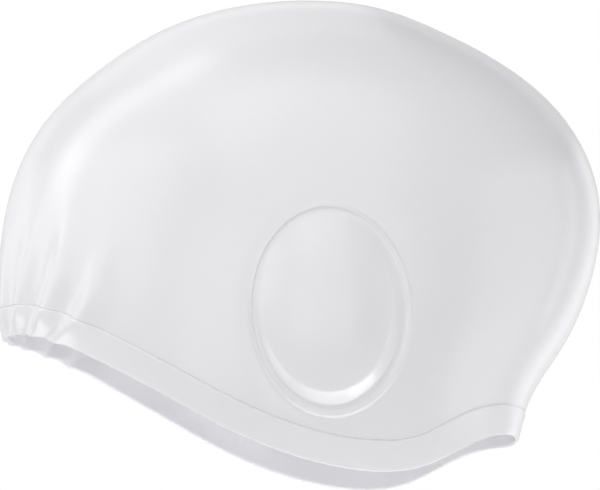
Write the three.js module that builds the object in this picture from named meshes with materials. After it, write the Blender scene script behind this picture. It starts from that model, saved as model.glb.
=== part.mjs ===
// A moulded silicone swim cap with a raised oval ear pocket on each side, filled out as when worn.
// Millimetres, +Z up. The forehead faces -Y and +X is the wearer's left.
// The origin is on the inside of the crown, where the cap sits on the top of a head.
import * as THREE from "three";

// Skin
const WALL = 1.0;
const DOME_HEIGHT = 100.2; // from the dome's centre to the outer crown
const CENTRE = new THREE.Vector3(0, 0, WALL - DOME_HEIGHT);

// Distance of the outer skin from the dome's centre, by the angle above level, with how much fuller
// the front and back quarters are than an ellipse
const DOME_COLUMNS = ["angle", "front", "side", "back", "frontQuarter", "backQuarter"];
const DOME_ROWS = [
  [-60, 118.0, 105.0, 108.0, 0.05, 0.09],
  [-45, 115.0, 96.5, 100.5, 0.05, 0.09],
  [-30, 112.5, 87.5, 91.5, 0.05, 0.08],
  [-15, 110.0, 81.5, 95.5, 0.04, 0.07],
  [0, 109.4, 79.5, 102.8, 0.02, 0.05],
  [15, 110.4, 81.5, 109.2, 0.0, 0.04],
  [30, 109.4, 85.5, 109.6, 0.0, 0.03],
  [45, 105.6, 90.0, 105.4, 0.0, 0.01],
  [60, 103.2, 95.0, 101.6, 0.0, 0.0],
  [75, 101.1, 98.8, 101.1, 0.0, 0.0],
  [90, 100.2, 100.2, 100.2, 0.0, 0.0],
];

// The rim as seen from the side: low over the ears, high at the forehead and the nape
const RIM_COLUMNS = ["back", "height"];
const RIM_ROWS = [
  [-125, -124.0],
  [-108, -121.5],
  [-95, -123.5],
  [-75, -132.5],
  [-50, -146.0],
  [-25, -159.0],
  [0, -168.0],
  [20, -171.5],
  [40, -169.3],
  [55, -162.0],
  [70, -157.5],
  [85, -161.5],
];

// Thickened rim band, with a moulded groove along its upper edge
const BAND_HEIGHT = 9.6;
const BAND_RISE = 0.3;
const GROOVE_WIDTH = 0.9;
const GROOVE_DEPTH = 0.35;

// Gathers at the forehead: upright ridges that fan out and fade with height
const GATHER_COLUMNS = ["azimuth", "rise", "halfWidth"];
const GATHER_ROWS = [
  [0, 1.8, 2.1],
  [7.6, 2.2, 2.1],
  [15.2, 2.8, 2.1],
  [22.8, 3.2, 2.1],
  [29.6, 2.9, 2.1],
];
const GATHER_FAN = 0.45;
const GATHER_FAN_HEIGHT = 12;
const GATHER_FADE = { start: 8, end: 48 };
const GATHER_AT_RIM = 0.5; // share of their rise that is left at the rim
const GATHER_FULL_HEIGHT = 7;

// Ear pocket, seen from the side: the lip where it leaves the dome, and the edge of its face
const LIP = { back: 6.9, height: -118.6, halfLength: 26.8, halfHeight: 35.0 };
const FACE = { back: 5.6, height: -116.8, halfLength: 22.2, halfHeight: 29.6 };
const POCKET_TILT = THREE.MathUtils.degToRad(3);
const POCKET_RISE = 3.1;
const MORE_AT_BACK = 0.28; // shares by which the pocket's back and foot stand out further
const MORE_AT_FOOT = 0.7;
const FACE_CROWN = 5.0;
const CHANNEL_RISE = 0.1; // what the channel would reach at the face's edge, as a share
const WALL_FOOT = 0.42; // where the wall starts, as a share of the way from the lip to the face
const WALL_WIDTH = 4.8; // from the lip to the face, on average
const LIP_RISE = 0.65;
const LIP_HALF_WIDTH = 0.75;

// Fineness of the facets: steps of azimuth in front of the gathers' end and across the pocket
const FINE = { front: 1.9, pocket: 4.2 };
const MIDDLE = { front: 3.75, pocket: 4.2 };
const COARSE = { front: 7.5, pocket: 8.4 };
const TEMPLE_STEP = 5;
const BACK_STEP = 7.5;
const GATHER_AZIMUTH = 45;
const POCKET_AZIMUTHS = [70, 120];
const FINE_SHARE = 0.2; // the gathers' fine facets end here on the way to the crown
const POCKET_TOP = 0.4; // share of the way from the band to the crown
const BAND_ROWS = [
  { height: 0, inside: true },
  { height: 4.6, inside: true },
  { height: BAND_HEIGHT - GROOVE_WIDTH / 2, inside: false },
  { height: BAND_HEIGHT, inside: false },
  { height: BAND_HEIGHT + GROOVE_WIDTH / 2, inside: true },
  { height: 13, inside: true },
];
const LOWER_SHARES = [0.05, 0.1, 0.15, 0.2, 0.27, 0.33, POCKET_TOP];
const CROWN_SHARES = [0.48, 0.57, 0.66, 0.76, 0.88];
const SPOKES = 56;
const POCKET_RINGS = [
  { place: -2.5, inside: true },
  { place: -1.1, inside: false },
  { place: 0, inside: true },
  { place: 0.22, inside: false },
  { place: WALL_FOOT, inside: true },
  { place: 0.7, inside: true },
  { place: 1, inside: true },
  { place: 1.15, inside: true },
  { place: 1.35, inside: true },
  { place: 1.65, inside: true },
];
const FACE_CENTRE = 2;
const FAR_FROM_POCKET = -30;
const FACING_SIDE = 0.4; // a direction's share of X from which it may meet a pocket
const LOWEST_ANGLE = -58;
const HIGHEST_RIM_ANGLE = 60;
const HALF_WIDTH_RANGE = [20, 130];
const BISECTIONS = 36;
const PROBE = 1e-4; // radians, for slopes
const INSIDE_PROBE = 0.02;

// A smooth curve through the rows of a table, as a function of its first column
function curve(rows, column) {
  const x = rows.map((row) => row[0]);
  const y = rows.map((row) => row[column]);
  const last = x.length - 1;
  const bend = new Array(x.length).fill(0);
  const carried = new Array(x.length).fill(0);
  for (let i = 1; i < last; i++) {
    const share = (x[i] - x[i - 1]) / (x[i + 1] - x[i - 1]);
    const scale = share * bend[i - 1] + 2;
    const turn = (y[i + 1] - y[i]) / (x[i + 1] - x[i]) - (y[i] - y[i - 1]) / (x[i] - x[i - 1]);
    bend[i] = (share - 1) / scale;
    carried[i] = ((6 * turn) / (x[i + 1] - x[i - 1]) - share * carried[i - 1]) / scale;
  }
  bend[last] = 0;
  for (let i = last - 1; i >= 0; i--) {
    bend[i] = bend[i] * bend[i + 1] + carried[i];
  }
  return (at) => {
    let i = 0;
    while (i < last - 1 && at > x[i + 1]) i++;
    const span = x[i + 1] - x[i];
    const low = (x[i + 1] - at) / span;
    const high = (at - x[i]) / span;
    const sag = (low ** 3 - low) * bend[i] + (high ** 3 - high) * bend[i + 1];
    return low * y[i] + high * y[i + 1] + (sag * span ** 2) / 6;
  };
}

// The same table read from the front, over the crown and down the back
function overCrown(front, back) {
  const column = (name) => DOME_COLUMNS.indexOf(name);
  const up = DOME_ROWS.map((row) => [row[0], row[column(front)]]);
  const down = DOME_ROWS.slice(0, -1).map((row) => [180 - row[0], row[column(back)]]);
  return curve([...up, ...down.reverse()], 1);
}

const middleCurve = overCrown("front", "back");
const sideCurve = overCrown("side", "side");
const frontQuarter = curve(DOME_ROWS, DOME_COLUMNS.indexOf("frontQuarter"));
const backQuarter = curve(DOME_ROWS, DOME_COLUMNS.indexOf("backQuarter"));
const rimHeight = curve(RIM_ROWS, RIM_COLUMNS.indexOf("height"));

const ease = (t) => THREE.MathUtils.smoothstep(t, 0, 1);
const bump = (offset) => Math.exp(-offset * offset);

// Unit direction from the dome's centre; azimuth 0 is the front and 90 the wearer's left
function direction(azimuth, angle) {
  const turn = THREE.MathUtils.degToRad(azimuth);
  const rise = THREE.MathUtils.degToRad(angle);
  const level = Math.cos(rise);
  return new THREE.Vector3(Math.sin(turn) * level, -Math.cos(turn) * level, Math.sin(rise));
}

// Distance of the plain dome from its centre along a direction
function domeRadius(way) {
  const level = Math.hypot(way.x, way.y);
  const angle = THREE.MathUtils.radToDeg(Math.atan2(way.z, level));
  const forward = level > 1e-9 ? -way.y / level : 1;
  const sideways = level > 1e-9 ? way.x / level : 0;
  const front = ease((1 + forward) / 2);
  const along = front * middleCurve(angle) + (1 - front) * middleCurve(180 - angle);
  const fuller = front * frontQuarter(angle) + (1 - front) * backQuarter(angle);
  const ellipse = 1 / Math.hypot(forward / along, sideways / sideCurve(angle));
  return ellipse * (1 + fuller * (2 * forward * sideways) ** 2);
}

function domePoint(way) {
  return way.clone().multiplyScalar(domeRadius(way)).add(CENTRE);
}

// Two directions square to a third, for measuring slopes
function tangents(way) {
  const helper = Math.abs(way.z) < 0.9 ? new THREE.Vector3(0, 0, 1) : new THREE.Vector3(0, 1, 0);
  const first = new THREE.Vector3().crossVectors(helper, way).normalize();
  return [first, new THREE.Vector3().crossVectors(way, first)];
}

// Outward normal of a surface that is given as a point for each direction
function normalOf(surface, way, probe = PROBE) {
  const slopes = tangents(way).map((side) => {
    const ahead = surface(way.clone().addScaledVector(side, probe).normalize());
    const behind = surface(way.clone().addScaledVector(side, -probe).normalize());
    return ahead.sub(behind);
  });
  return new THREE.Vector3().crossVectors(slopes[0], slopes[1]).normalize();
}

// Height of a point of the dome above the rim, square to the rim in side view
function aboveRim(point) {
  const slope = rimHeight(point.y + 0.5) - rimHeight(point.y - 0.5);
  return (point.z - rimHeight(point.y)) / Math.hypot(1, slope);
}

function gathers(way, height) {
  const azimuth = THREE.MathUtils.radToDeg(Math.atan2(Math.abs(way.x), -way.y));
  const fan = 1 + GATHER_FAN * (1 - Math.exp(-Math.max(height, 0) / GATHER_FAN_HEIGHT));
  const fade = 1 - ease((height - GATHER_FADE.start) / (GATHER_FADE.end - GATHER_FADE.start));
  const atRim = THREE.MathUtils.lerp(GATHER_AT_RIM, 1, ease(height / GATHER_FULL_HEIGHT));
  const place = GATHER_COLUMNS.indexOf("azimuth");
  const rise = GATHER_COLUMNS.indexOf("rise");
  const halfWidth = GATHER_COLUMNS.indexOf("halfWidth");
  const ridge = (row) => row[rise] * bump((azimuth / fan - row[place]) / row[halfWidth]);
  return fade * atRim * GATHER_ROWS.reduce((sum, row) => sum + ridge(row), 0);
}

// How far the band stands proud, less its groove
function band(height) {
  const bottom = BAND_HEIGHT - GROOVE_WIDTH / 2;
  const toGroove = Math.abs(height - BAND_HEIGHT) / (GROOVE_WIDTH / 2);
  if (toGroove < 1) {
    const edge = height < BAND_HEIGHT ? BAND_RISE : 0;
    return THREE.MathUtils.lerp(-GROOVE_DEPTH, edge, toGroove);
  }
  return height < bottom ? BAND_RISE : 0;
}

// One ring of the pocket. Its place is below 0 outside the lip, in millimetres, 0 on the lip,
// 1 on the face's edge and 2 at the middle of the face.
function pocketRing(place) {
  const across = THREE.MathUtils.clamp(place, 0, 1);
  const outward = Math.max(-place, 0);
  const inward = 2 - Math.max(place, 1);
  return {
    back: THREE.MathUtils.lerp(LIP.back, FACE.back, across),
    height: THREE.MathUtils.lerp(LIP.height, FACE.height, across),
    halfLength: (THREE.MathUtils.lerp(LIP.halfLength, FACE.halfLength, across) + outward) * inward,
    halfHeight: (THREE.MathUtils.lerp(LIP.halfHeight, FACE.halfHeight, across) + outward) * inward,
  };
}

// Share of the way out to a ring at which a side-view point lies, and its turn around the ring
function inRing(ring, back, height) {
  const y = back - ring.back;
  const z = height - ring.height;
  const along = y * Math.cos(POCKET_TILT) + z * Math.sin(POCKET_TILT);
  const up = z * Math.cos(POCKET_TILT) - y * Math.sin(POCKET_TILT);
  const x = along / ring.halfLength;
  const h = up / ring.halfHeight;
  return { share: Math.hypot(x, h), turn: Math.atan2(h, x) };
}

function onRing(ring, turn) {
  const along = ring.halfLength * Math.cos(turn);
  const up = ring.halfHeight * Math.sin(turn);
  return {
    back: ring.back + along * Math.cos(POCKET_TILT) - up * Math.sin(POCKET_TILT),
    height: ring.height + up * Math.cos(POCKET_TILT) + along * Math.sin(POCKET_TILT),
  };
}

function bisect(low, high, isLow) {
  for (let i = 0; i < BISECTIONS; i++) {
    const middle = (low + high) / 2;
    if (isLow(middle)) low = middle;
    else high = middle;
  }
  return (low + high) / 2;
}

function pocketPlace(back, height) {
  const within = (place) => inRing(pocketRing(place), back, height).share < 1;
  if (!within(FAR_FROM_POCKET)) return FAR_FROM_POCKET;
  return bisect(FAR_FROM_POCKET, FACE_CENTRE - 1e-6, within);
}

// How far the pocket stands out to the side: a shallow channel, a steep wall, then a domed face
function pocketRise(place, back, height) {
  const lean = (MORE_AT_BACK * (back - FACE.back)) / FACE.halfLength
    - (MORE_AT_FOOT * (height - FACE.height)) / FACE.halfHeight;
  const edgeRise = POCKET_RISE * (1 + lean);
  if (place > 1) {
    return edgeRise + FACE_CROWN * (1 - (2 - place) ** 2);
  }
  const wall = (place - WALL_FOOT) / (1 - WALL_FOOT);
  return edgeRise * Math.max(CHANNEL_RISE * place, wall, 0);
}

// The filled-out skin for a direction: the dome with its gathers and pockets
function softPoint(way) {
  const point = domePoint(way);
  const height = aboveRim(point);
  const rise = gathers(way, height);
  if (rise > 0) {
    point.addScaledVector(normalOf(domePoint, way), rise);
  }
  if (Math.abs(way.x) > FACING_SIDE) {
    const place = pocketPlace(point.y, point.z);
    point.x += Math.sign(way.x) * pocketRise(place, point.y, point.z);
  }
  return point;
}

// How far the pocket's thin lip stands proud
function lip(point) {
  const place = pocketPlace(point.y, point.z);
  const away = place > 0 ? place * WALL_WIDTH : -place;
  return LIP_RISE * bump(away / LIP_HALF_WIDTH);
}

// The outside adds the band, its groove and the pocket's lip
function outsidePoint(way) {
  const dome = domePoint(way);
  let relief = band(aboveRim(dome));
  if (way.x > FACING_SIDE) relief += lip(dome);
  return softPoint(way).addScaledVector(normalOf(domePoint, way), relief);
}

// The inside lies a wall's thickness in, along normals that are even over that distance
function insidePoint(way) {
  return softPoint(way).addScaledVector(normalOf(softPoint, way, INSIDE_PROBE), -WALL);
}

// The angle on a meridian at which the dome is a given height above the rim
function angleAt(azimuth, height) {
  const isLow = (angle) => aboveRim(domePoint(direction(azimuth, angle))) < height;
  return bisect(LOWEST_ANGLE, HIGHEST_RIM_ANGLE, isLow);
}

// Direction of the dome's point that is seen from the side at a place, on the wearer's left
function seenFromSide(back, height) {
  const to = (x) => new THREE.Vector3(x, back - CENTRE.y, height - CENTRE.z);
  const inside = (x) => to(x).length() < domeRadius(to(x).normalize());
  return to(bisect(...HALF_WIDTH_RANGE, inside)).normalize();
}

function span(from, to, step) {
  const count = Math.round((to - from) / step);
  return Array.from({ length: count }, (_, i) => from + ((to - from) * i) / count);
}

// Azimuths of one row of corners, from the front round the wearer's left to the back
function azimuths(step) {
  const [pocketFront, pocketBack] = POCKET_AZIMUTHS;
  return [
    ...span(0, GATHER_AZIMUTH, step.front),
    ...span(GATHER_AZIMUTH, pocketFront, TEMPLE_STEP),
    ...span(pocketFront, pocketBack, step.pocket),
    ...span(pocketBack, 180, BACK_STEP),
    180,
  ];
}

// Joins two rows of corners by triangles; each row runs along the same measure
function stitch(lower, upper, triangles) {
  let i = 0;
  let j = 0;
  while (i < lower.length - 1 || j < upper.length - 1) {
    const lowerNext = i < lower.length - 1 ? lower[i + 1].at : Infinity;
    const upperNext = j < upper.length - 1 ? upper[j + 1].at : Infinity;
    if (lowerNext <= upperNext) {
      triangles.push([lower[i].corner, lower[i + 1].corner, upper[j].corner]);
      i++;
    } else {
      triangles.push([lower[i].corner, upper[j + 1].corner, upper[j].corner]);
      j++;
    }
  }
}

// One side's half of a skin, from the middle plane round the wearer's left, as directions
// and triangles. The inside leaves out the rows that only the outside's fine relief needs.
function halfSkin(inside) {
  const ways = [];
  const triangles = [];
  const corner = (way, at) => {
    ways.push(way);
    return { at, corner: ways.length - 1 };
  };
  const wanted = (row) => row.inside || !inside;
  const fine = azimuths(FINE);
  const middle = azimuths(MIDDLE);
  const coarse = azimuths(COARSE);
  const bandRows = BAND_ROWS.filter(wanted).map((row) =>
    fine.map((azimuth) => corner(direction(azimuth, angleAt(azimuth, row.height)), azimuth)));
  const top = BAND_ROWS[BAND_ROWS.length - 1].height;
  const shareRow = (share, list) => list.map((azimuth) => {
    const start = angleAt(azimuth, top);
    return corner(direction(azimuth, start + (90 - start) * share), azimuth);
  });
  const lowerRows = LOWER_SHARES.map((share) => shareRow(share, share > FINE_SHARE ? middle : fine));
  const crownRows = CROWN_SHARES.map((share) => shareRow(share, coarse));

  for (let i = 1; i < bandRows.length; i++) {
    stitch(bandRows[i - 1], bandRows[i], triangles);
  }
  const besideRows = [bandRows[bandRows.length - 1], ...lowerRows];
  const [pocketFront, pocketBack] = POCKET_AZIMUTHS;
  for (let i = 1; i < besideRows.length; i++) {
    for (const part of [(c) => c.at <= pocketFront, (c) => c.at >= pocketBack]) {
      stitch(besideRows[i - 1].filter(part), besideRows[i].filter(part), triangles);
    }
  }
  const upperRows = [lowerRows[lowerRows.length - 1], ...crownRows];
  for (let i = 1; i < upperRows.length; i++) {
    stitch(upperRows[i - 1], upperRows[i], triangles);
  }
  const pole = corner(new THREE.Vector3(0, 0, 1), 0);
  stitch(upperRows[upperRows.length - 1], [pole], triangles);
  pocketSkin(besideRows, wanted, corner, ways, triangles);
  return { ways, triangles, rim: bandRows[0] };
}

// Fills the window in the rows around the pocket with rings that follow its oval
function pocketSkin(rows, wanted, corner, ways, triangles) {
  const [pocketFront, pocketBack] = POCKET_AZIMUTHS;
  const lipRing = pocketRing(0);
  const inWindow = (c) => c.at >= pocketFront && c.at <= pocketBack;
  const onBorder = (c) => c.at === pocketFront || c.at === pocketBack;
  const window = rows.flatMap((row, i) =>
    row.filter(i === 0 || i === rows.length - 1 ? inWindow : onBorder));
  const frame = window.map((c) => {
    const seen = domePoint(ways[c.corner]);
    return { at: inRing(lipRing, seen.y, seen.z).turn, corner: c.corner, seen };
  });
  frame.sort((a, b) => a.at - b.at);
  const turns = Array.from({ length: SPOKES }, (_, i) => -Math.PI + (2 * Math.PI * (i + 0.5)) / SPOKES);
  const ring = (placeOf) => turns.map((turn) => {
    const spot = placeOf(turn);
    return corner(seenFromSide(spot.back, spot.height), turn);
  });
  const outer = pocketRing(POCKET_RINGS[0].place);
  const halfway = (turn) => {
    const near = onRing(outer, turn);
    const far = onFrame(frame, turn);
    return { back: (near.back + far.y) / 2, height: (near.height + far.z) / 2 };
  };
  const rings = [ring(halfway)];
  for (const row of POCKET_RINGS.filter(wanted)) {
    rings.push(ring((turn) => onRing(pocketRing(row.place), turn)));
  }
  stitch(closed(frame), closed(rings[0]), triangles);
  for (let i = 1; i < rings.length; i++) {
    stitch(closed(rings[i - 1]), closed(rings[i]), triangles);
  }
  const middle = corner(seenFromSide(FACE.back, FACE.height), 0);
  stitch(closed(rings[rings.length - 1]), [middle], triangles);
}

// The place on the window's frame at a turn, between its two nearest corners
function onFrame(frame, turn) {
  const loop = closed(frame);
  let i = loop.findIndex((c) => c.at > turn);
  if (i === 0) {
    loop.unshift({ ...frame[frame.length - 1], at: frame[frame.length - 1].at - 2 * Math.PI });
    i = 1;
  }
  const part = (turn - loop[i - 1].at) / (loop[i].at - loop[i - 1].at);
  return loop[i - 1].seen.clone().lerp(loop[i].seen, part);
}

function closed(loop) {
  return [...loop, { ...loop[0], at: loop[0].at + 2 * Math.PI }];
}

// Turns both skins and the rim between them into one closed surface, mirrored across the middle
function capGeometry() {
  const outside = halfSkin(false);
  const inside = halfSkin(true);
  const points = [];
  const triangles = [];
  const place = (way, surface) => {
    const point = surface(way);
    if (Math.abs(way.x) < 1e-9) point.x = 0;
    points.push(point);
  };
  outside.ways.forEach((way) => place(way, outsidePoint));
  inside.ways.forEach((way) => place(way, insidePoint));
  const shift = outside.ways.length;
  triangles.push(...outside.triangles);
  for (const [a, b, c] of inside.triangles) {
    triangles.push([a + shift, c + shift, b + shift]);
  }
  for (let i = 1; i < outside.rim.length; i++) {
    const [a, b] = [outside.rim[i - 1].corner, outside.rim[i].corner];
    const [c, d] = [inside.rim[i - 1].corner + shift, inside.rim[i].corner + shift];
    triangles.push([b, a, c], [b, c, d]);
  }
  const mirrored = points.map((point, i) => {
    if (point.x === 0) return i;
    points.push(new THREE.Vector3(-point.x, point.y, point.z));
    return points.length - 1;
  });
  const otherSide = triangles.map(([a, b, c]) => [mirrored[a], mirrored[c], mirrored[b]]);
  const geometry = new THREE.BufferGeometry().setFromPoints(points);
  geometry.setIndex([...triangles, ...otherSide].flat());
  geometry.computeVertexNormals();
  return geometry;
}

const silicone = new THREE.MeshStandardMaterial({ color: 0xf2f3f4, roughness: 0.38, metalness: 0 });
const shell = new THREE.Mesh(capGeometry(), silicone);
shell.name = "cap_shell";

const swimCap = new THREE.Group();
swimCap.add(shell);

export default swimCap;
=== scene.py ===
# A white silicone swim cap with raised ear pockets, filled out as when worn.
# The shape's own sizes are in millimetres, as in the CAD source; Blender's objects are in metres.
import math

import bpy
import numpy as np
from mathutils import Matrix, Vector


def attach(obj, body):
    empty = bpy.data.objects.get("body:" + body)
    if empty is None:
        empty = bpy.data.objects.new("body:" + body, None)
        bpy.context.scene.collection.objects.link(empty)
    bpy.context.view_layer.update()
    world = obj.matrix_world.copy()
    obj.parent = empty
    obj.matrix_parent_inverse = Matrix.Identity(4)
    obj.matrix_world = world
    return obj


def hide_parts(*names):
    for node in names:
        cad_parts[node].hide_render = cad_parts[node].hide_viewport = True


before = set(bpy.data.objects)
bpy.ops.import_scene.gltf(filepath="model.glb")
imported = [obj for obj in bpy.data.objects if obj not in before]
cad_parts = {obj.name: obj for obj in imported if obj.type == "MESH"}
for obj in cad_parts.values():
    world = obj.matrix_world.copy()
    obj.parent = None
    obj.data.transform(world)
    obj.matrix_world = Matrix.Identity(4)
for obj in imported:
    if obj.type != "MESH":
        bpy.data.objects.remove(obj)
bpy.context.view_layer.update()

MM = 0.001
NODE = "cap_shell"
BODY = "root"

# Skin
WALL = 1.0  # its thickness
DOME_HEIGHT = 100.2  # from the dome's centre to the outer crown
CENTRE = np.array([0.0, 0.0, WALL - DOME_HEIGHT])

# Distance of the outer skin from the dome's centre, by the angle above level, with how much
# fuller the front and back quarters are than an ellipse
DOME_COLUMNS = ("angle", "front", "side", "back", "front_quarter", "back_quarter")
DOME_ROWS = (
    (-60, 118.0, 105.0, 108.0, 0.05, 0.09),
    (-45, 115.0, 96.5, 100.5, 0.05, 0.09),
    (-30, 112.5, 87.5, 91.5, 0.05, 0.08),
    (-15, 110.0, 81.5, 95.5, 0.04, 0.07),
    (0, 109.4, 79.5, 102.8, 0.02, 0.05),
    (15, 110.4, 81.5, 109.2, 0.0, 0.04),
    (30, 109.4, 85.5, 109.6, 0.0, 0.03),
    (45, 105.6, 90.0, 105.4, 0.0, 0.01),
    (60, 103.2, 95.0, 101.6, 0.0, 0.0),
    (75, 101.1, 98.8, 101.1, 0.0, 0.0),
    (90, 100.2, 100.2, 100.2, 0.0, 0.0),
)

# The rim as seen from the side: distance back and height
RIM_ROWS = (
    (-125, -124.0),
    (-108, -121.5),
    (-95, -123.5),
    (-75, -132.5),
    (-50, -146.0),
    (-25, -159.0),
    (0, -168.0),
    (20, -171.5),
    (40, -169.3),
    (55, -162.0),
    (70, -157.5),
    (85, -161.5),
)

# Thickened rim band, with a moulded groove along its upper edge
BAND_HEIGHT = 9.6
BAND_RISE = 0.3
GROOVE_WIDTH = 0.9
GROOVE_DEPTH = 0.35
GROOVE_AT_NAPE = 0.35  # share of its depth that is left there
NAPE_START, NAPE_FULL = 122.0, 145.0  # azimuths between which it gets shallower
# The band turns in at the temples: how far at the rim, and where, by azimuth
TUCK = 1.2
TUCK_AZIMUTH, TUCK_HALF_WIDTH = 48.0, 22.0

# Gathers at the forehead: azimuth at the rim, rise and half width. They fan out and fade with
# height, and the table's azimuths and half widths are in degrees
GATHER_ROWS = (
    (0, 1.8, 2.1),
    (7.6, 2.2, 2.1),
    (15.2, 2.8, 2.1),
    (22.8, 3.2, 2.1),
    (29.6, 2.9, 2.1),
)
GATHER_FAN = 0.45  # share by which their azimuths grow in the end
GATHER_FAN_HEIGHT = 12
GATHER_FADE = (8, 48)  # heights above the rim between which they fade
GATHER_AT_RIM = 0.5  # share of their rise that is left at the rim
GATHER_FULL_HEIGHT = 7

# Ear pocket, seen from the side: place back, height, half length and half height of its lip
# where it leaves the dome, and of the edge of its face
LIP = np.array([6.9, -118.6, 26.8, 35.0])
FACE = np.array([5.6, -116.8, 22.2, 29.6])
POCKET_TILT = math.radians(3)
POCKET_RISE = 3.1  # how far the edge of its face stands out
MORE_AT_BACK, MORE_AT_FOOT = 0.28, 0.7  # shares by which its back and foot stand out further
FACE_CROWN = 5.0  # how much further the middle of its face does
CHANNEL_RISE = 0.1  # what the channel would reach at the face's edge, as a share
WALL_FOOT = 0.42  # where the wall starts, as a share of the way from the lip to the face
WALL_WIDTH, FACE_HALF = 4.8, 26.0  # from the lip to the face and on to its middle, on average
CORNER = 0.25  # rounding of the corners between them
LIP_RISE = 0.65
LIP_HALF_WIDTH = 0.75

FACING_SIDE = 0.4  # a direction's share of X from which it may meet the pocket

# A low swell in the skin in front of the pocket: how far outside the lip, as a place, and how wide
SWELL_RISE = 0.45
SWELL_PLACE = -5.5
SWELL_HALF_WIDTH = 3.6

# Fineness of the mesh: steps of azimuth, in degrees, and where each is used
FRONT_STEP = 0.9
SIDE_STEP = 1.35
CROWN_STEP = 3.5
INSIDE_COARSER = 1.6  # how many times longer the inside's steps are
GATHER_AZIMUTH = 48
FINE_SHARE = 0.25  # shares of the way from the window's foot to the crown
CROWN_SHARE = 0.75
ROWS_BESIDE, ROWS_ABOVE = 50, 46

# Heights of the band's rows above the rim, with finer ones across the groove
BAND_ROWS = (0, 0.4, 1.2, 2.5, 4, 5.5, 7, 8.4)
ABOVE_BAND = 11.0
GROOVE_ROWS = 11
GROOVE_MARGIN = 0.15

# The window in the rows that the pocket's rings fill: its sides' azimuths, its foot's height above
# the rim, its top as a share of the way to the crown, and the rings outside the lip
POCKET_AZIMUTHS = (70, 120)
WINDOW_FOOT = 12.0
POCKET_TOP = 0.44
SPOKES = 168
OUTER_RINGS = 16
OUTER_RING_STEP = 0.3

# Places of the pocket's rings, in stretches from a start to an end, which is left out, by a step
OUTSIDE_PLACES = (
    (-1.8, 0, 0.1),
    (0, 0.24, 0.02),
    (0.24, 0.56, 0.032),
    (0.56, 0.88, 0.04),
    (0.88, 1, 0.02),
    (1, 1.04, 0.005),
    (1.04, 1.1, 0.012),
    (1.1, 2, 0.05),
)
INSIDE_PLACES = (
    (-1, 0, 1),
    (0, 0.3, 0.06),
    (0.3, 0.9, 0.1),
    (0.9, 1.06, 0.032),
    (1.06, 2.02, 0.08),
)
FAR_FROM_POCKET = -30.0
FACE_CENTRE = 2.0
RIM_STEPS = 8  # steps of the rim's rounded edge

# Searches: the ranges that hold the answer, in degrees and millimetres, and how often they halve
LOWEST_ANGLE, HIGHEST_RIM_ANGLE = -58.0, 60.0
HALF_WIDTH_RANGE = (20.0, 130.0)
BISECTIONS = 36

# Slopes: how far to each side they are measured, in radians, and along the rim in millimetres
PROBE = 1e-4
INSIDE_PROBE = 0.02
RIM_SLOPE_PROBE = 0.5
RIM_PROBE = 1.0  # height above the rim from which the skin's run down to it is taken
STEEP = 0.9  # a direction's share of Z from which it counts as near upright

# Tolerances
POLE_LEVEL = 1e-9  # a direction's level share under which it points straight up or down
SHORT_OF_CENTRE = 1e-6  # how far before the face's centre the search for a place ends
SEAM_WIDTH = 1e-6  # distance from the middle plane within which a point is put on it

# Camera
CAMERA_AZIMUTH = 89.0
CAMERA_ELEVATION = -7.0
CAMERA_DISTANCE = 1200.0
CAMERA_TARGET = (0, -2.0, -86.0)
CAMERA_LIFT = -1.1  # the target's shift up the picture
CAMERA_NEAR = 0.01  # the nearest that it sees, in metres
PHOTO_WIDTH = 600  # in pixels
PIXEL_SIZE = 0.36  # on the cap's middle plane
VIEW_WIDTH = PHOTO_WIDTH * PIXEL_SIZE

# Stage, in metres and watts. Each light has a name, a place from the cap's middle, a size across
# and along, the direction that it is long in, and a power
FLOOR_HEIGHT = -0.6
FLOOR_HALF_SIZE = 6.0
CAP_MIDDLE = (0, 0, -0.09)
UPRIGHT, LEVEL, SLANTED = (0, 0, 1), (0, 1, 0), (0, 1, 1)
LIGHTS = (
    ("high_key", (0.50, -0.50, 0.98), (1.0, 1.0), UPRIGHT, 1.3),
    ("high_side", (0.80, -0.04, 0.80), (1.2, 0.9), LEVEL, 3.3),
    ("left_key", (0.87, -0.50, 0.0), (0.6, 0.6), UPRIGHT, 0.45),
    ("left_fill", (0.47, -0.81, 0.34), (0.6, 0.6), UPRIGHT, 1.3),
    ("front_side", (-0.05, -0.95, 0.30), (0.3, 0.6), UPRIGHT, 0.9),
    ("front_rear", (-0.50, -0.85, 0.15), (0.3, 0.5), UPRIGHT, 0.5),
    ("camera_fill", (1.40, -0.12, -0.10), (1.4, 1.0), UPRIGHT, 5.5),
    ("right_fill", (0.25, 0.95, 0.05), (0.9, 0.9), UPRIGHT, 2.6),
    ("low_right", (0.43, 0.73, -0.32), (0.14, 0.30), LEVEL, 0.08),
    ("below", (0.03, 0.0, -0.42), (0.12, 0.46), LEVEL, 0.53),
    ("below_right", (-0.06, 0.28, -0.39), (0.10, 0.22), LEVEL, 0.34),
    ("below_left", (-0.03, -0.38, -0.26), (0.12, 0.24), LEVEL, 0.25),
    ("inside", (0.05, 0.01, 0.02), (0.04, 0.06), LEVEL, 0.017),
    ("streak", (-0.06, -0.68, 0.71), (0.24, 0.9), SLANTED, 1.3),
    ("edge", (-0.32, 0.84, 0.07), (0.16, 0.6), UPRIGHT, 0.42),
    ("rear_right", (-0.62, 0.62, 0.0), (0.4, 0.7), UPRIGHT, 0.65),
    ("rear_left", (-0.60, -0.60, 0.10), (0.4, 0.7), UPRIGHT, 0.2),
    ("behind", (-1.2, 0.0, 0.1), (2.4, 2.0), UPRIGHT, 8.0),
    ("rear_top", (-0.49, -0.15, 0.87), (0.8, 0.8), UPRIGHT, 1.2),
)
SKY_STRENGTH = 0.2
BACKDROP_STRENGTH = 1.0

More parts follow.
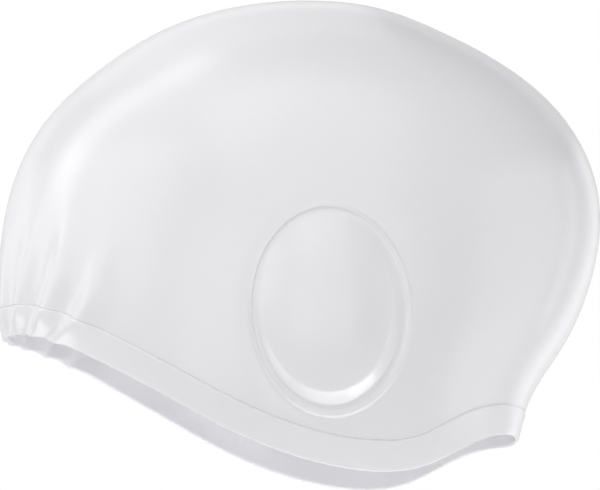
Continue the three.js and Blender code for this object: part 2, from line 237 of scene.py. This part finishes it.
# Silicone: its two tones and its roughness, which change with the same soft clouds, and how fine
# the clouds and the mould grain are
SILICONE_TONES = ((0.890, 0.885, 0.909, 1), (0.899, 0.894, 0.918, 1))
SILICONE_ROUGHNESS = (0.245, 0.26)
CLOUD_RANGE = (0.3, 0.7)  # the part of the clouds that the roughness follows
CLOUD_SCALE, GRAIN_SCALE = 28.0, 900.0
GRAIN_HEIGHT = 0.0002  # in metres, at full strength
GRAIN_STRENGTH = 0.06

# Stage colours
FLOOR_TONE = (0.6, 0.6, 0.6, 1)
WHITE = (1, 1, 1, 1)


def curve(xs, ys):
    """A smooth curve through points, as a function."""
    xs, ys = np.asarray(xs, float), np.asarray(ys, float)
    gaps = np.diff(xs)
    count = len(xs)
    matrix, turns = np.eye(count), np.zeros(count)
    for i in range(1, count - 1):
        matrix[i, i - 1:i + 2] = gaps[i - 1], 2 * (gaps[i - 1] + gaps[i]), gaps[i]
        turns[i] = 6 * ((ys[i + 1] - ys[i]) / gaps[i] - (ys[i] - ys[i - 1]) / gaps[i - 1])
    bends = np.linalg.solve(matrix, turns)

    def at(x):
        i = np.clip(np.searchsorted(xs, x) - 1, 0, count - 2)
        low, high = (xs[i + 1] - x) / gaps[i], (x - xs[i]) / gaps[i]
        sag = (low ** 3 - low) * bends[i] + (high ** 3 - high) * bends[i + 1]
        return low * ys[i] + high * ys[i + 1] + sag * gaps[i] ** 2 / 6

    return at


def dome_column(name):
    return np.array([row[DOME_COLUMNS.index(name)] for row in DOME_ROWS])


def over_crown(front, back):
    """The dome table read from the front, over the crown and down the back."""
    angles = dome_column("angle")
    radii = np.concatenate([dome_column(front), dome_column(back)[-2::-1]])
    return curve(np.concatenate([angles, 180 - angles[-2::-1]]), radii)


middle_curve = over_crown("front", "back")
side_curve = over_crown("side", "side")
front_quarter = curve(dome_column("angle"), dome_column("front_quarter"))
back_quarter = curve(dome_column("angle"), dome_column("back_quarter"))
rim_height = curve(*zip(*RIM_ROWS))


def ease(t):
    t = np.clip(t, 0, 1)
    return t * t * (3 - 2 * t)


def bump(offset):
    return np.exp(-offset ** 2)


def blend_up(first, second):
    """The higher of two heights, rounded where they meet."""
    return CORNER * np.logaddexp(first / CORNER, second / CORNER)


def blend_down(first, second):
    return -blend_up(-first, -second)


def unit(vectors):
    return vectors / np.linalg.norm(vectors, axis=-1, keepdims=True)


def direction(azimuth, angle):
    """Unit directions from the dome's centre; azimuth 0 is the front and 90 the wearer's left."""
    turn, rise = np.radians(azimuth), np.radians(angle)
    level = np.cos(rise)
    return np.stack([np.sin(turn) * level, -np.cos(turn) * level, np.sin(rise) + 0 * turn], -1)


def dome_radius(way):
    """Distance of the plain dome from its centre."""
    level = np.hypot(way[..., 0], way[..., 1])
    angle = np.degrees(np.arctan2(way[..., 2], level))
    at_pole = level < POLE_LEVEL
    level = np.where(at_pole, 1, level)
    forward = np.where(at_pole, 1, -way[..., 1] / level)
    sideways = np.where(at_pole, 0, way[..., 0] / level)
    front = ease((1 + forward) / 2)
    along = front * middle_curve(angle) + (1 - front) * middle_curve(180 - angle)
    fuller = front * front_quarter(angle) + (1 - front) * back_quarter(angle)
    ellipse = 1 / np.hypot(forward / along, sideways / side_curve(angle))
    return ellipse * (1 + fuller * (2 * forward * sideways) ** 2)


def dome_point(way):
    return way * dome_radius(way)[..., None] + CENTRE


def normal_of(surface, way, probe=PROBE):
    """Outward normals of a surface that is given as a point for each direction."""
    steep = np.abs(way[..., 2:]) >= STEEP
    helper = np.where(steep, np.array([0.0, 1, 0]), np.array([0.0, 0, 1]))
    first = unit(np.cross(helper, way))
    second = np.cross(way, first)
    slopes = [surface(unit(way + probe * side)) - surface(unit(way - probe * side))
              for side in (first, second)]
    return unit(np.cross(*slopes))


def above_rim(points):
    """Height of the dome's points above the rim, square to the rim in side view."""
    y = points[..., 1]
    climb = rim_height(y + RIM_SLOPE_PROBE) - rim_height(y - RIM_SLOPE_PROBE)
    slope = climb / (2 * RIM_SLOPE_PROBE)
    return (points[..., 2] - rim_height(y)) / np.hypot(1, slope)


def azimuth_of(way):
    """Azimuth from the front, the same on both sides."""
    return np.degrees(np.arctan2(np.abs(way[..., 0]), -way[..., 1]))


def gathers(way, height):
    azimuth = azimuth_of(way)
    fan = 1 + GATHER_FAN * (1 - np.exp(-np.maximum(height, 0) / GATHER_FAN_HEIGHT))
    start, end = GATHER_FADE
    fade = 1 - ease((height - start) / (end - start))
    fade = fade * (GATHER_AT_RIM + (1 - GATHER_AT_RIM) * ease(height / GATHER_FULL_HEIGHT))
    return fade * sum(rise * bump((azimuth / fan - place) / half_width)
                      for place, rise, half_width in GATHER_ROWS)


def band(way, height):
    """How far the rim band stands proud, less its groove, which is shallower at the nape."""
    to_groove = np.abs(height - BAND_HEIGHT) / (GROOVE_WIDTH / 2)
    step = BAND_RISE * (height < BAND_HEIGHT)
    at_nape = ease((azimuth_of(way) - NAPE_START) / (NAPE_FULL - NAPE_START))
    depth = GROOVE_DEPTH * (1 - (1 - GROOVE_AT_NAPE) * at_nape)
    return np.where(to_groove < 1, step - (step + depth) * ease(1 - to_groove), step)


def tuck(way, height):
    below = np.clip(1 - height / BAND_HEIGHT, 0, 1)
    return TUCK * below ** 2 * bump((azimuth_of(way) - TUCK_AZIMUTH) / TUCK_HALF_WIDTH)


def pocket_ring(place):
    """Centre and half sizes of a pocket ring. Its place is below 0 outside the lip, in
    millimetres, 0 on the lip, 1 on the face's edge and 2 at the middle of the face."""
    place = np.asarray(place, float)[..., None]
    ring = LIP + (FACE - LIP) * np.clip(place, 0, 1)
    sizes = (ring[..., 2:] + np.maximum(-place, 0)) * (2 - np.maximum(place, 1))
    return np.concatenate([ring[..., :2] + 0 * sizes, sizes], -1)


def in_ring(ring, y, z):
    """Share of the way out to a ring at which a side-view point lies, and its turn."""
    y, z = y - ring[..., 0], z - ring[..., 1]
    along = (y * math.cos(POCKET_TILT) + z * math.sin(POCKET_TILT)) / ring[..., 2]
    up = (z * math.cos(POCKET_TILT) - y * math.sin(POCKET_TILT)) / ring[..., 3]
    return np.hypot(along, up), np.arctan2(up, along)


def on_ring(ring, turn):
    along, up = ring[..., 2] * np.cos(turn), ring[..., 3] * np.sin(turn)
    return (ring[..., 0] + along * math.cos(POCKET_TILT) - up * math.sin(POCKET_TILT),
            ring[..., 1] + up * math.cos(POCKET_TILT) + along * math.sin(POCKET_TILT))


def bisect(low, high, is_low):
    for _ in range(BISECTIONS):
        middle = (low + high) / 2
        under = is_low(middle)
        low, high = np.where(under, middle, low), np.where(under, high, middle)
    return (low + high) / 2


def pocket_place(y, z):
    return bisect(np.full(y.shape, FAR_FROM_POCKET), np.full(y.shape, FACE_CENTRE - SHORT_OF_CENTRE),
                  lambda place: in_ring(pocket_ring(place), y, z)[0] < 1)


def pocket_rise(place, y, z):
    """How far the pocket stands out to the side: a shallow channel, a steep wall and a domed face.
    Each of them runs on past its ends, so that they blend where they meet."""
    middle_y, middle_z, half_length, half_height = FACE
    lean = MORE_AT_BACK * (y - middle_y) / half_length - MORE_AT_FOOT * (z - middle_z) / half_height
    edge_rise = POCKET_RISE * (1 + lean)
    inward = np.where(place > 1, (place - 1) * FACE_HALF / WALL_WIDTH, place - 1)
    across = inward * WALL_WIDTH / FACE_HALF
    channel = edge_rise * CHANNEL_RISE * (1 + inward)
    wall = edge_rise * (1 + inward / (1 - WALL_FOOT))
    face = edge_rise + FACE_CROWN * across * (2 - across)
    return blend_up(blend_down(blend_up(channel, wall), face), 0)


def swell(place, turn):
    """The swell's rise, which is highest straight in front of the pocket."""
    ahead = ease((1 - np.cos(turn)) / 2)
    return SWELL_RISE * ahead * bump((place - SWELL_PLACE) / SWELL_HALF_WIDTH)


def soft_point(way):
    """The filled-out skin: the dome with its gathers and pockets."""
    points = dome_point(way)
    place = pocket_place(points[..., 1], points[..., 2])
    turn = in_ring(pocket_ring(0.0), points[..., 1], points[..., 2])[1]
    on_side = way[..., 0] > FACING_SIDE
    height = above_rim(points)
    rise = gathers(way, height) - tuck(way, height) + np.where(on_side, swell(place, turn), 0)
    out = normal_of(dome_point, way) * rise[..., None]
    out[..., 0] += np.where(on_side, pocket_rise(place, points[..., 1], points[..., 2]), 0)
    return points + out


def lip(points):
    """How far the pocket's thin lip stands proud."""
    place = pocket_place(points[..., 1], points[..., 2])
    away = np.where(place > 0, place * WALL_WIDTH, -place)
    return LIP_RISE * bump(away / LIP_HALF_WIDTH)


def outside_point(way):
    """The outside adds the band, its groove and the pocket's lip."""
    dome = dome_point(way)
    relief = band(way, above_rim(dome)) + np.where(way[..., 0] > FACING_SIDE, lip(dome), 0)
    return soft_point(way) + normal_of(dome_point, way) * relief[..., None]


def inside_point(way):
    """The inside lies a wall's thickness in, along normals that are even over that distance."""
    return soft_point(way) - normal_of(soft_point, way, INSIDE_PROBE) * WALL


def angle_at(azimuth, height):
    """The angle on each meridian at which the dome is a given height above the rim."""
    return bisect(np.full(azimuth.shape, LOWEST_ANGLE), np.full(azimuth.shape, HIGHEST_RIM_ANGLE),
                  lambda angle: above_rim(dome_point(direction(azimuth, angle))) < height)


def seen_from_side(y, z):
    """Directions of the dome's points that are seen at side-view places."""
    def to(x):
        return np.stack([x, y - CENTRE[1], z - CENTRE[2]], -1)

    def is_inside(x):
        reach = to(x)
        return np.linalg.norm(reach, axis=-1) < dome_radius(unit(reach))

    low, high = HALF_WIDTH_RANGE
    return unit(to(bisect(np.full(y.shape, low), np.full(y.shape, high), is_inside)))


def spaced(start, end, step):
    count = max(1, round((end - start) / step))
    return np.linspace(start, end, count, endpoint=False)


class Skin:
    """One half of a skin, round the wearer's left, as directions and triangles."""

    def __init__(self, coarser, fine_relief):
        self.coarser = coarser
        self.fine_relief = fine_relief
        self.ways = []
        self.count = 0
        self.triangles = []

    def row(self, ways, at):
        ids = np.arange(self.count, self.count + len(ways))
        self.ways.append(ways)
        self.count += len(ways)
        return np.asarray(at, float), ids

    def stitch(self, lower, upper):
        """Joins two rows by triangles; each row is its places along a measure and its corners."""
        (low_at, low_ids), (up_at, up_ids) = lower, upper
        i = j = 0
        while i < len(low_ids) - 1 or j < len(up_ids) - 1:
            low_next = low_at[i + 1] if i < len(low_ids) - 1 else math.inf
            up_next = up_at[j + 1] if j < len(up_ids) - 1 else math.inf
            if low_next <= up_next:
                self.triangles.append((low_ids[i], low_ids[i + 1], up_ids[j]))
                i += 1
            else:
                self.triangles.append((low_ids[i], up_ids[j + 1], up_ids[j]))
                j += 1

    def azimuths(self, front_step, side_step):
        pocket_front, pocket_back = POCKET_AZIMUTHS
        return np.concatenate([
            spaced(0, GATHER_AZIMUTH, front_step),
            spaced(GATHER_AZIMUTH, pocket_front, side_step),
            spaced(pocket_front, pocket_back, side_step),
            spaced(pocket_back, 180, side_step),
            [180.0],
        ])

    def band_heights(self):
        """Heights of the rows from the rim to the foot of the pocket's window."""
        groove = [BAND_HEIGHT]
        if self.fine_relief:
            start, end = BAND_HEIGHT - GROOVE_WIDTH / 2, BAND_HEIGHT + GROOVE_WIDTH / 2
            across = np.linspace(start, end, GROOVE_ROWS)
            groove = [start - GROOVE_MARGIN, *across, end + GROOVE_MARGIN]
        return [*BAND_ROWS, *groove, ABOVE_BAND, WINDOW_FOOT]

    def share_row(self, azimuths, share):
        start = angle_at(azimuths, WINDOW_FOOT)
        return self.row(direction(azimuths, start + (90 - start) * share), azimuths)

    def build(self):
        """Returns the half skin's directions, its triangles and the corners of its rim."""
        rim = self.azimuths(FRONT_STEP, SIDE_STEP)
        fine = self.azimuths(FRONT_STEP * self.coarser, SIDE_STEP * self.coarser)
        middle = self.azimuths(2 * FRONT_STEP * self.coarser, SIDE_STEP * self.coarser)
        sparse = self.azimuths(CROWN_STEP * self.coarser, CROWN_STEP * self.coarser)
        band_rows = []
        for height in self.band_heights():
            azimuths = fine if height > 0 else rim
            band_rows.append(self.row(direction(azimuths, angle_at(azimuths, height)), azimuths))
        shares = np.linspace(0, POCKET_TOP, round(ROWS_BESIDE / self.coarser))[1:]
        beside = [self.share_row(fine if share < FINE_SHARE else middle, share) for share in shares]
        shares = np.linspace(POCKET_TOP, 1, round(ROWS_ABOVE / self.coarser))[1:-1]
        crown = [self.share_row(middle if share < CROWN_SHARE else sparse, share) for share in shares]
        for lower, upper in zip(band_rows, band_rows[1:]):
            self.stitch(lower, upper)
        beside = [band_rows[-1], *beside]
        pocket_front, pocket_back = POCKET_AZIMUTHS
        for lower, upper in zip(beside, beside[1:]):
            for part in (lambda at: at <= pocket_front, lambda at: at >= pocket_back):
                self.stitch(*[(at[part(at)], ids[part(at)]) for at, ids in (lower, upper)])
        upward = [beside[-1], *crown, self.row(np.array([[0.0, 0, 1]]), [0])]
        for lower, upper in zip(upward, upward[1:]):
            self.stitch(lower, upper)
        self.fill_pocket(beside)
        return np.concatenate(self.ways), np.array(self.triangles), band_rows[0][1]

    def pocket_places(self):
        """Places of the pocket's rings, closest where its lip, foot and corner turn."""
        stretches = OUTSIDE_PLACES if self.fine_relief else INSIDE_PLACES
        return np.concatenate([spaced(*stretch) for stretch in stretches])

    def window_corners(self, rows):
        """The window's corners, as their turns, their ids and the places where they are seen."""
        pocket_front, pocket_back = POCKET_AZIMUTHS
        window = [ids[(at == pocket_front) | (at == pocket_back)] for at, ids in rows[1:-1]]
        window += [ids[(at >= pocket_front) & (at <= pocket_back)] for at, ids in (rows[0], rows[-1])]
        window = np.concatenate(window)
        seen = dome_point(np.concatenate(self.ways)[window])[:, 1:]
        turns = in_ring(pocket_ring(0.0), *seen.T)[1]
        order = np.argsort(turns)
        return turns[order], window[order], seen[order]

    def fill_pocket(self, rows):
        """Fills the window in the rows around the pocket with rings that follow its oval."""
        turns, window, seen = self.window_corners(rows)
        spokes = round(SPOKES / self.coarser)
        turn = -math.pi + 2 * math.pi * (np.arange(spokes) + 0.5) / spokes
        border = np.stack([np.interp(turn, turns, column, period=2 * math.pi) for column in seen.T])
        places = self.pocket_places()
        start = np.stack(on_ring(pocket_ring(places[0]), turn))
        gap = np.linalg.norm(border - start, axis=0)
        steps = round(OUTER_RINGS / self.coarser)
        spread = np.maximum(np.log(gap / OUTER_RING_STEP) / math.log(steps), 1)
        rings = [(turns, window)]
        for step in range(steps - 1, 0, -1):
            share = (step / steps) ** spread
            rings.append(self.row(seen_from_side(*(start + (border - start) * share)), turn))
        for place in places:
            rings.append(self.row(seen_from_side(*on_ring(pocket_ring(place), turn)), turn))
        loops = [self.closed(*ring) for ring in rings]
        for outer, inner in zip(loops, loops[1:]):
            self.stitch(outer, inner)
        centre = seen_from_side(FACE[:1], FACE[1:2])
        self.stitch(loops[-1], self.row(centre, [0]))

    @staticmethod
    def closed(at, ids):
        return np.append(at, at[0] + 2 * math.pi), np.append(ids, ids[0])


def rim_edge(outer, inner, above):
    """Rows of points that round the rim's edge, from the outside to the inside. above is a row
    of points a little higher on the skin."""
    middle, reach = (outer + inner) / 2, (outer - inner) / 2
    below = unit(middle - above) * np.linalg.norm(reach, axis=1, keepdims=True)
    turns = np.linspace(0, math.pi, RIM_STEPS + 1)[1:-1]
    return [middle + reach * math.cos(turn) + below * math.sin(turn) for turn in turns]


def cap_mesh():
    """Both skins and the rim's rounded edge as one closed mesh, mirrored across the middle."""
    out_ways, out_triangles, out_rim = Skin(1.0, True).build()
    in_ways, in_triangles, in_rim = Skin(INSIDE_COARSER, False).build()
    outer, inner = outside_point(out_ways), inside_point(in_ways)
    rim_azimuths = np.degrees(np.arctan2(out_ways[out_rim, 0], -out_ways[out_rim, 1]))
    above_ways = direction(rim_azimuths, angle_at(rim_azimuths, RIM_PROBE))
    above = (outside_point(above_ways) + inside_point(above_ways)) / 2
    edge = rim_edge(outer[out_rim], inner[in_rim], above)
    points = np.concatenate([outer, inner, *edge])
    triangles = [out_triangles, in_triangles[:, [0, 2, 1]] + len(outer)]
    edge_start = len(outer) + len(inner)
    rows = [out_rim]
    rows += [edge_start + k * len(out_rim) + np.arange(len(out_rim)) for k in range(len(edge))]
    rows += [in_rim + len(outer)]
    for upper, lower in zip(rows, rows[1:]):
        triangles.append(np.stack([upper[1:], upper[:-1], lower[:-1]], 1))
        triangles.append(np.stack([upper[1:], lower[:-1], lower[1:]], 1))
    triangles = np.concatenate(triangles)
    on_middle = np.abs(points[:, 0]) < SEAM_WIDTH
    points[on_middle, 0] = 0
    mirrored = np.arange(len(points))
    mirrored[~on_middle] = len(points) + np.arange((~on_middle).sum())
    other = points[~on_middle] * (-1, 1, 1)
    return (np.concatenate([points, other]),
            np.concatenate([triangles, mirrored[triangles[:, [0, 2, 1]]]]))


def new_mesh(name, points, faces):
    """A smooth mesh object from points in metres."""
    mesh = bpy.data.meshes.new(name)
    mesh.from_pydata(points.tolist(), [], faces.tolist())
    mesh.validate()
    mesh.shade_smooth()
    thing = bpy.data.objects.new(name, mesh)
    bpy.context.scene.collection.objects.link(thing)
    return thing


class Nodes:
    """Short calls for building a node tree."""

    def __init__(self, tree):
        self.tree = tree
        tree.nodes.clear()

    def add(self, kind, inputs=None, **settings):
        node = self.tree.nodes.new(kind)
        for name, value in settings.items():
            setattr(node, name, value)
        for name, value in (inputs or {}).items():
            if isinstance(value, bpy.types.NodeSocket):
                self.tree.links.new(value, node.inputs[name])
            else:
                node.inputs[name].default_value = value
        return node


def silicone_material():
    """White moulded silicone: satin, slightly see-through at its edges, with a faint mould grain."""
    material = bpy.data.materials.new("white_silicone")
    material.use_nodes = True
    nodes = Nodes(material.node_tree)
    place = nodes.add("ShaderNodeTexCoord").outputs["Object"]
    cloud = nodes.add("ShaderNodeTexNoise", {"Vector": place, "Scale": CLOUD_SCALE, "Detail": 3.0})
    grain = nodes.add("ShaderNodeTexNoise", {"Vector": place, "Scale": GRAIN_SCALE, "Detail": 4.0,
                                             "Roughness": 0.6})
    darker, lighter = SILICONE_TONES
    tone = nodes.add("ShaderNodeMix", {"Factor": cloud.outputs["Fac"], "A": darker, "B": lighter},
                     data_type="RGBA")
    thinnest, thickest = CLOUD_RANGE
    smoothest, roughest = SILICONE_ROUGHNESS
    roughness = nodes.add("ShaderNodeMapRange", {
        "Value": cloud.outputs["Fac"],
        "From Min": thinnest,
        "From Max": thickest,
        "To Min": smoothest,
        "To Max": roughest,
    })
    relief = nodes.add("ShaderNodeBump", {"Height": grain.outputs["Fac"], "Strength": GRAIN_STRENGTH,
                                          "Distance": GRAIN_HEIGHT})
    surface = nodes.add("ShaderNodeBsdfPrincipled", {
        "Base Color": tone.outputs["Result"],
        "Roughness": roughness.outputs["Result"],
        "Normal": relief.outputs["Normal"],
        "IOR": 1.5,
        "Specular IOR Level": 0.6,
        "Subsurface Weight": 0.15,
        "Subsurface Radius": (1.0, 0.9, 0.8),
        "Subsurface Scale": 0.002,
    })
    nodes.add("ShaderNodeOutputMaterial", {"Surface": surface.outputs["BSDF"]})
    return material


def floor_material():
    material = bpy.data.materials.new("pale_floor")
    material.use_nodes = True
    nodes = Nodes(material.node_tree)
    surface = nodes.add("ShaderNodeBsdfPrincipled", {"Base Color": FLOOR_TONE, "Roughness": 0.7})
    nodes.add("ShaderNodeOutputMaterial", {"Surface": surface.outputs["BSDF"]})
    return material


def make_cap():
    points, triangles = cap_mesh()
    cap = new_mesh("swim_cap", points * MM, triangles)
    cap.data.materials.append(silicone_material())
    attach(cap, BODY)
    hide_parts(NODE)


def make_floor():
    half = FLOOR_HALF_SIZE
    corners = np.array([(-half, -half, 0), (half, -half, 0), (half, half, 0), (-half, half, 0)])
    floor = new_mesh("floor", corners + (0, 0, FLOOR_HEIGHT), np.array([[0, 1, 2, 3]]))
    floor.data.materials.append(floor_material())


def aim(thing, target, upward=(0, 0, 1)):
    """Turns a thing to look at a target, with its own Y axis as near as can be to upward."""
    back = (thing.location - Vector(target)).normalized()
    right = Vector(upward).cross(back).normalized()
    thing.rotation_euler = Matrix((right, back.cross(right), back)).transposed().to_euler()


def make_lights():
    """Soft lights round the cap, aimed at its middle."""
    middle = Vector(CAP_MIDDLE)
    for name, place, size, lengthwise, power in LIGHTS:
        data = bpy.data.lights.new(name, "AREA")
        data.shape = "RECTANGLE"
        data.size, data.size_y = size
        data.energy = power
        light = bpy.data.objects.new(name, data)
        light.location = middle + Vector(place)
        light.visible_camera = False
        bpy.context.scene.collection.objects.link(light)
        aim(light, middle, lengthwise)


def make_world():
    """A white backdrop for the camera, and a dimmer white sky that lights the cap."""
    world = bpy.data.worlds.new("studio")
    bpy.context.scene.world = world
    world.use_nodes = True
    nodes = Nodes(world.node_tree)
    seen = nodes.add("ShaderNodeLightPath").outputs["Is Camera Ray"]
    strength = nodes.add("ShaderNodeMapRange", {"Value": seen, "To Min": SKY_STRENGTH,
                                                "To Max": BACKDROP_STRENGTH})
    sky = nodes.add("ShaderNodeBackground", {"Color": WHITE, "Strength": strength.outputs["Result"]})
    nodes.add("ShaderNodeOutputWorld", {"Surface": sky.outputs["Background"]})


def make_camera():
    """Looks from the wearer's left, a little from below, with the photograph's framing."""
    turn, rise = math.radians(CAMERA_AZIMUTH), math.radians(CAMERA_ELEVATION)
    back = Vector((math.sin(turn) * math.cos(rise), -math.cos(turn) * math.cos(rise), math.sin(rise)))
    right = Vector((0, 0, 1)).cross(back).normalized()
    up = back.cross(right)
    target = Vector(CAMERA_TARGET) * MM + up * CAMERA_LIFT * MM
    data = bpy.data.cameras.new("camera")
    data.sensor_fit = "HORIZONTAL"
    data.lens = data.sensor_width * CAMERA_DISTANCE / VIEW_WIDTH
    data.clip_start = CAMERA_NEAR
    camera = bpy.data.objects.new("camera", data)
    camera.location = target + back * CAMERA_DISTANCE * MM
    bpy.context.scene.collection.objects.link(camera)
    aim(camera, target)
    bpy.context.scene.camera = camera


make_camera()
make_cap()
make_floor()
make_lights()
make_world()
bpy.context.scene.view_settings.view_transform = "Standard"
